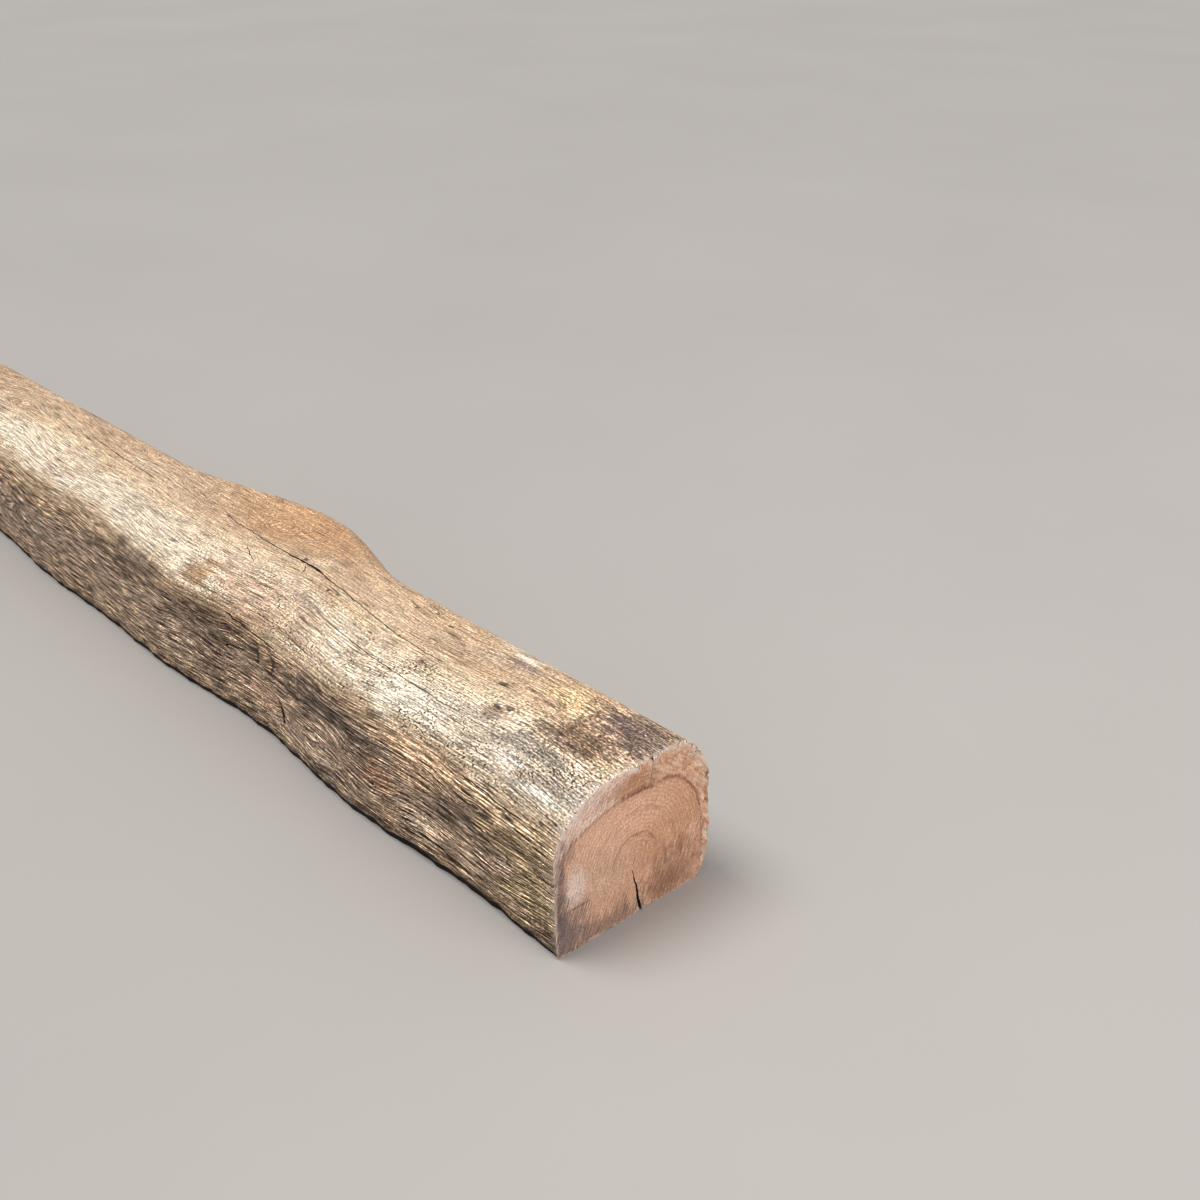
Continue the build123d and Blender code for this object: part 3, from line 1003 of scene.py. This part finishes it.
def weathered_oak():
    """Weathered flank: banded by girth, patched, streaked along the grain, specked and cracked."""
    material, desk, shader = new_material("weathered_flank", 0.88)
    place = desk.node("ShaderNodeUVMap", {"uv_map": "girth"})
    parts = desk.node("ShaderNodeSeparateXYZ", {}, {0: place})
    along, girth = parts.output("X"), parts.output("Y")
    grain_map = desk.node("ShaderNodeUVMap", {"uv_map": "grain"})
    course = desk.node("ShaderNodeSeparateXYZ", {}, {0: grain_map}).output("Y")
    relief = desk.node("ShaderNodeAttribute", {"attribute_name": "relief"}, output="Fac")
    sole = desk.node("ShaderNodeAttribute", {"attribute_name": "sole"}, output="Fac")

    # Noises, from the finest to the broadest: along the grain, then over the surface.
    grit = desk.grain(along, course, 0.0044, 0.0012, detail=1.0)
    dash = desk.grain(along, course, 0.032, 0.0012, detail=1.0)
    fine = desk.grain(along, course, 0.090, 0.0014, detail=1.0)
    fibre = desk.grain(along, course, 0.180, 0.0045, detail=2.0)
    strand = desk.grain(along, course, 0.300, 0.0110, detail=3.0)
    blotch = desk.grain(along, girth, 0.070, 0.034, detail=5.0, rough=0.65)
    cloud = desk.grain(along, girth, 0.150, 0.050, detail=4.0, rough=0.6)
    mottle = desk.grain(along, girth, 0.018, 0.011, detail=4.0, rough=0.7)
    streak = strand * 0.9 + fibre * 0.7

    # Ground colour, clouds and stains.
    seat = (girth + blotch * 0.034 + streak * 0.034) / BAND_GIRTH
    colour = desk.node("ShaderNodeValToRGB", {"stops": BAND_STOPS}, {0: seat})
    hewn = desk.step(seat, 0.29, 0.25) + desk.step(seat, 0.74, 0.80)
    top = 1 - hewn
    drift = cloud + blotch * 0.4 + streak * 0.3
    colour = desk.blend(desk.step(drift, 0.05, 0.25) * top * 0.55, colour, tint(170, 138, 108))
    colour = desk.blend(desk.step(drift, -0.05, -0.25) * top * 0.45, colour, tint(240, 222, 196))
    edge = blotch * 2.2 + mottle * 1.6 + streak * (0.6 + hewn * 1.0)
    for patch in PATCHES:
        share = patch_mask(desk, place, edge, patch) * patch[5]
        colour = desk.blend(share, colour, tint(*patch[4]))

    # Light and dark of the grain: rough on the hewn face and the back, and smoother on the top.
    calm = patch_mask(desk, place, edge, CALM_PATCH)
    specked = desk.step(girth, 0.135, 0.15) * desk.step(girth, 0.26, 0.20) * desk.step(along, 1.0, 0.1)
    lined = desk.step(girth, 0.24, 0.19)
    rough = dash * 9.6 + fine * 5.0 + grit * 5.0 + fibre * 0.4 + strand * 0.5 + mottle * 2.0 + HEWN_LIFT
    smooth = dash * (3.2 + lined * 0.5) + fine * (1.4 + lined * 0.2) + grit * (3.8 + specked * 0.4)
    dirty = patch_mask(desk, place, edge, DIRTY_PATCH)
    smooth = smooth + dirty * (dash * 2.6 + grit * 3.4 + mottle * 1.6)
    smooth = (smooth + fibre * 0.4 + strand * 0.6 + mottle * 1.0) * (1 - calm * 0.2)
    band = desk.step(girth, 0.110, 0.124) * desk.step(girth, 0.156, 0.138)
    stripe = desk.math("SINE", course * (2 * math.pi / STRIPE_PITCH) + strand * 16 + fibre * 5) * band
    swell = desk.vector(along - SWELL_KNOT[0], (girth - SWELL_KNOT[1]) * SWELL_RING_SQUEEZE)
    reach = desk.node("ShaderNodeVectorMath", {"operation": "LENGTH"}, {0: swell}, output="Value")
    ring = desk.math("SINE", (reach + blotch * 0.03) * (2 * math.pi / SWELL_RING_PITCH))
    ring = ring * desk.step(reach, 0.10, 0.04)
    tone = hewn * rough + top * smooth + blotch * 1.0 + stripe * 0.42 + ring * 0.24
    colour = desk.shade(colour, 2.0**tone)

    # Dark and pale lines, veins and specks, painted shade in the sunk furrows, and dark spots that are partly
    # painted shade.
    sharp = dash + fine * 0.7
    colour = desk.blend(desk.step(sharp, -0.11, -0.16) * hewn * 0.88, colour, tint(48, 38, 30))
    colour = desk.blend(desk.step(sharp, 0.13, 0.20) * hewn * 0.42, colour, tint(212, 194, 168))
    sparse = desk.step(sharp + blotch * 0.3, -0.17, -0.22) * top * (1 - calm * 0.5)
    colour = desk.blend(sparse * 0.7, colour, tint(88, 70, 54))
    vein = desk.grain(along, course, 0.30, 0.0075, detail=1.0)
    line = desk.step(abs(vein), 0.026, 0.006) * desk.step(blotch + strand, -0.10, 0.08)
    colour = desk.blend(line * (0.5 + hewn * 0.3 - calm * 0.3), colour, tint(58, 45, 34))
    pepper = desk.grain(along, course, 0.0034, 0.0017, detail=0.0) + blotch * 0.9 + mottle * 0.7
    dots = desk.step(pepper, 0.20, 0.25) * specked * 0.75 + desk.step(pepper, 0.27, 0.31) * top * 0.5
    colour = desk.blend(dots, colour, tint(70, 61, 52))
    colour = desk.blend(desk.step(pepper, -0.22, -0.30) * specked * 0.3, colour, tint(246, 237, 222))
    # Painted shade in the furrows that the relief sinks, darker on the hewn face.
    colour = desk.blend(desk.step(relief, 0.75, 1.25) * (0.08 + hewn * 0.18), colour, tint(54, 43, 34))
    # Dark spots: the knots' and specks' own colour, and painted shade in and beside checks and hollows.
    for spot in SPOTS:
        mask = patch_mask(desk, place, fibre * 1.5 + dash * 1.5, spot, (1.3, 0.6))
        colour = desk.blend(mask * 0.78, colour, tint(40, 31, 25))

    # A pale fringe at the saw cut, and near-black painted shade on the sole and in the undercut under the
    # lip.
    fringe = desk.step(along + fibre * 0.03 + dash * 0.03 + blotch * 0.01, 0.0045, 0.0005)
    colour = desk.blend(fringe * (0.3 + top * 0.25), colour, tint(236, 216, 202))
    colour = desk.blend(sole, colour, tint(20, 16, 13))

    connect(desk, colour, shader["Base Color"])
    lines = fibre * 0.12 + fine * 0.9 + dash * 0.7 + strand * 0.2
    height = lines * (0.08 + hewn * 0.9) + mottle * 0.12 + grit * 0.06 - line * 0.2
    bump = desk.node("ShaderNodeBump", {}, {"Height": height, "Strength": 0.8, "Distance": 0.0014})
    connect(desk, bump, shader["Normal"])
    return material


# Stains and tones on the sawn end, with painted shade along its foot and a crack drawn only as a painted dark
# line: across from the hewn face's datum, height, reaches, colour, share.
END_PATCHES = (
    (0.055, 0.090, 0.050, 0.050, (218, 178, 152), 0.6),
    (0.150, 0.105, 0.055, 0.045, (206, 150, 112), 0.6),
    (0.100, 0.163, 0.032, 0.012, (188, 138, 106), 0.8),
    (0.100, 0.122, 0.066, 0.026, (240, 190, 158), 0.65),
    (0.024, 0.076, 0.014, 0.020, (240, 216, 202), 0.75),
    (0.006, 0.080, 0.008, 0.046, (108, 94, 92), 0.8),
    (0.014, 0.124, 0.012, 0.012, (140, 116, 106), 0.5),
    (0.016, 0.022, 0.028, 0.032, (104, 98, 100), 0.75),
    # Painted shade along the foot of the sawn end.
    (0.075, 0.008, 0.060, 0.014, (134, 114, 102), 0.6),
    (0.147, 0.020, 0.022, 0.018, (150, 108, 80), 0.6),
    (0.160, 0.030, 0.034, 0.030, (160, 116, 92), 0.6),
    (0.150, 0.052, 0.003, 0.012, (140, 96, 72), 0.5),
    (0.172, 0.050, 0.003, 0.010, (140, 96, 72), 0.5),
    # A small crack drawn only as a painted dark line, standing in for the shade it would hold.
    (0.028, 0.052, 0.014, 0.0016, (126, 102, 92), 0.7),
    (0.128, 0.158, 0.003, 0.010, (110, 72, 54), 0.6),
    (0.108, 0.152, 0.022, 0.0035, (138, 92, 70), 0.6),
    (0.094, 0.016, 0.003, 0.012, (104, 78, 62), 0.5),
)

# The growth rings' pitch, and the dark rings: radius, width and share.
RING_PITCH = 0.0046
DARK_RINGS = ((0.0305, 0.0016, 0.5), (0.057, 0.0014, 0.35))


def sawn_end_grain():
    """Fresh saw cut: rings about the pith, a dark heart line, torn pale sap and saw strokes."""
    material, desk, shader = new_material("sawn_end_grain", 0.92)
    place = desk.node("ShaderNodeTexCoord", output="Object")
    parts = desk.node("ShaderNodeSeparateXYZ", {}, {0: place})
    across, up = parts.output("Y") - FACE_Y, parts.output("Z")
    rim = desk.node("ShaderNodeAttribute", {"attribute_name": "rim_depth"}, output="Fac")
    from_heart = desk.node("ShaderNodeAttribute", {"attribute_name": "from_heart"}, output="Fac")
    y, z = parts.output("Y") - PITH_Y, up - PITH_Z
    blotch = desk.noise(place, scale=40.0, detail=4.0, rough=0.6) - 0.5
    fleck = desk.noise(place, scale=560.0, detail=1.0) - 0.5
    chunk = desk.noise(place, scale=170.0, detail=3.0, rough=0.6) - 0.5
    stroke = desk.grain(across * 0.35 + up * 0.94, across * 0.94 - up * 0.35, 0.018, 0.0015, detail=2.0)
    radius = desk.math("SQRT", y * y + z * z * 0.86) + blotch * 0.010
    ring = desk.math("SINE", radius * (2 * math.pi / RING_PITCH))
    upper = desk.step(z, -0.02, 0.03)

    # Ground colour of the heart and the sapwood, and their stains.
    face = desk.vector(across, up)
    edge = blotch * 1.6 + stroke * 1.4 + chunk * 0.4
    colour = desk.blend(blotch + 0.5, tint(212, 158, 126), tint(222, 178, 150))
    left = desk.step(across, 0.115, 0.075)
    outer = from_heart + blotch * 0.010 + chunk * 0.005
    sap = desk.blend(left, tint(212, 160, 124), tint(232, 202, 184))
    colour = desk.blend(desk.step(outer, -0.002, 0.004) * 0.85, colour, sap)
    for patch in END_PATCHES:
        share = patch_mask(desk, face, edge, patch, (1.6, 0.35)) * patch[5]
        colour = desk.blend(share, colour, tint(*patch[4]))

    # The heart line, the dark rings and the torn sapwood.
    ragged = abs(outer + stroke * 0.006)
    heart_line = desk.step(ragged, 0.0034, 0.0004) * desk.step(blotch + chunk * 0.6, -0.16, 0.06)
    heart_line = heart_line * desk.step(up, 0.0, 0.05) * (0.70 - left * 0.3)
    colour = desk.blend(heart_line, colour, tint(124, 84, 68))
    for centre, width, share in DARK_RINGS:
        arc = desk.step(abs(radius - centre), width * 2, width * 0.4) * upper * desk.step(blotch, -0.12, 0.05)
        colour = desk.blend(arc * share, colour, tint(146, 98, 74))
    torn = desk.step(outer, 0.0005, 0.004) * desk.step(across, 0.115, 0.14) * desk.step(up, 0.0, 0.03)
    shred = desk.grain(across * 0.77 - up * 0.64, across * 0.64 + up * 0.77, 0.0150, 0.0065, detail=3.0)
    flake = shred + chunk * 0.3
    crumb = desk.blend(desk.step(flake, -0.18, 0.02), tint(196, 144, 112), tint(228, 186, 156))
    crumb = desk.blend(desk.step(flake - rim * 6, -0.05, 0.20), crumb, tint(248, 226, 206))
    colour = desk.blend(torn * 0.75, colour, crumb)

    # Light and dark of the rings and saw strokes, and the rim's fringe, bristles and nicks.
    tone = ring * upper * 0.13 + fleck * 1.8 + stroke * (1.5 - torn * 0.9) + chunk * 0.5 + blotch * 0.5
    colour = desk.shade(colour, 2.0**tone)
    fringe = desk.step(rim + chunk * 0.016 + blotch * 0.020, 0.0020, 0.0002)
    colour = desk.blend(fringe * (0.25 + 0.25 * desk.step(up, 0.07, 0.04)), colour, tint(236, 214, 202))
    high = desk.step(up, 0.125, 0.155)
    bristle = desk.step(rim + shred * 0.022 + fleck * 0.012, 0.0055, 0.0010) * high
    colour = desk.blend(bristle * 0.65, colour, tint(244, 228, 216))
    nick = desk.step(fleck + shred * 0.5, 0.13, 0.20) * desk.step(rim, 0.008, 0.003) * high
    colour = desk.blend(nick * 0.6, colour, tint(112, 78, 60))
    connect(desk, colour, shader["Base Color"])
    height = fleck * 0.7 + stroke * 0.8 + ring * 0.1
    bump = desk.node("ShaderNodeBump", {}, {"Height": height, "Strength": 0.6, "Distance": 0.0010})
    connect(desk, bump, shader["Normal"])
    return material


def check_dark_wood_and_shade():
    """Inside of the drying checks: dark wood, and painted shade that darkens it further."""
    material, desk, shader = new_material("check_dark_wood_and_shade", 0.95)
    place = desk.node("ShaderNodeTexCoord", output="Object")
    dust = desk.noise(place, scale=300.0, detail=3.0)
    colour = desk.blend(dust, tint(30, 22, 16), tint(84, 64, 48))
    connect(desk, colour, shader["Base Color"])
    return material


def pale_floor():
    """Pale studio floor, faintly clouded."""
    material, desk, shader = new_material("pale_floor", 0.8)
    place = desk.node("ShaderNodeTexCoord", output="Object")
    cloud = desk.noise(place, scale=1.3, detail=4.0)
    colour = desk.blend(cloud, tint(178, 172, 166), tint(188, 182, 176))
    connect(desk, colour, shader["Base Color"])
    return material


# Stage, light and camera.

FLOOR_SIDE = 60.0
SKY_COLOUR = (0.95, 0.97, 1.0, 1.0)
SKY_STRENGTH = 0.50
KEY_STRENGTH = 1.9
KEY_SPREAD = 32.0
KEY_DIRECTION = (0.34, 0.34, -1.0)
FILL_PLACE = (4.0, 0.4, 2.4)
FILL_AIM = (0.8, 0.0, 0.1)
FILL_SIDE = 2.4
FILL_POWER = 50.0


def build_stage():
    half = FLOOR_SIDE / 2
    mesh = bpy.data.meshes.new("floor")
    corners = [(-half, -half, 0), (half, -half, 0), (half, half, 0), (-half, half, 0)]
    mesh.from_pydata(corners, [], [(0, 1, 2, 3)])
    mesh.materials.append(pale_floor())
    floor = new_piece("floor", mesh)


def build_lights():
    world = bpy.data.worlds.new("studio")
    bpy.context.scene.world = world
    world.use_nodes = True
    backdrop = world.node_tree.nodes["Background"]
    backdrop.inputs["Color"].default_value = SKY_COLOUR
    backdrop.inputs["Strength"].default_value = SKY_STRENGTH
    key = bpy.data.lights.new("key", "SUN")
    key.energy = KEY_STRENGTH
    key.angle = math.radians(KEY_SPREAD)
    key_lamp = new_piece("key", key)
    key_lamp.rotation_euler = looking(Vector(KEY_DIRECTION))
    fill = bpy.data.lights.new("fill", "AREA")
    fill.shape = "SQUARE"
    fill.size = FILL_SIDE
    fill.energy = FILL_POWER
    fill_lamp = new_piece("fill", fill)
    fill_lamp.location = FILL_PLACE
    fill_lamp.rotation_euler = looking(Vector(FILL_AIM) - Vector(FILL_PLACE))


def looking(direction):
    """Turn of a lamp or a camera that looks in a direction."""
    return direction.to_track_quat("-Z", "Y").to_euler()


def build_camera():
    data = bpy.data.cameras.new("camera")
    data.sensor_width = SENSOR
    data.lens = SENSOR * PHOTO_FOCAL / PHOTO_SIDE
    data.clip_end = CAMERA_CLIP
    camera = new_piece("camera", data)
    camera.location = Vector((SAWN_X, FACE_Y, 0)) + CAMERA_FROM_CORNER
    pitch = math.radians(CAMERA_PITCH)
    aim = CAMERA_AIM.normalized() * math.cos(pitch) - Vector((0, 0, math.sin(pitch)))
    camera.rotation_euler = looking(aim)
    bpy.context.scene.camera = camera


# Edges sharper than this stay sharp, in degrees.
SHARP_ANGLE = 50


def build_beam():
    """The whole beam: its skin, its furrowed grain and its drying checks, as one piece."""
    skin = Skin()
    skin.wear_rims()
    press_hollows(skin)
    skin.normal_grid = skin.normals()
    weathered, sawn = weathered_oak(), sawn_end_grain()
    mesh = skin_mesh(skin)
    beam = new_piece("weathered_beam", mesh)
    run_tree(beam, furrow_tree(weathered, sawn), FURROW_SIZES)
    cut_checks(beam, skin, check_dark_wood_and_shade())
    for face in beam.data.polygons:
        face.use_smooth = True
    beam.data.set_sharp_from_angle(angle=math.radians(SHARP_ANGLE))
    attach(beam, "root")
    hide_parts("oak_beam")


build_beam()
build_stage()
build_lights()
build_camera()
bpy.context.scene.view_settings.view_transform = "Standard"
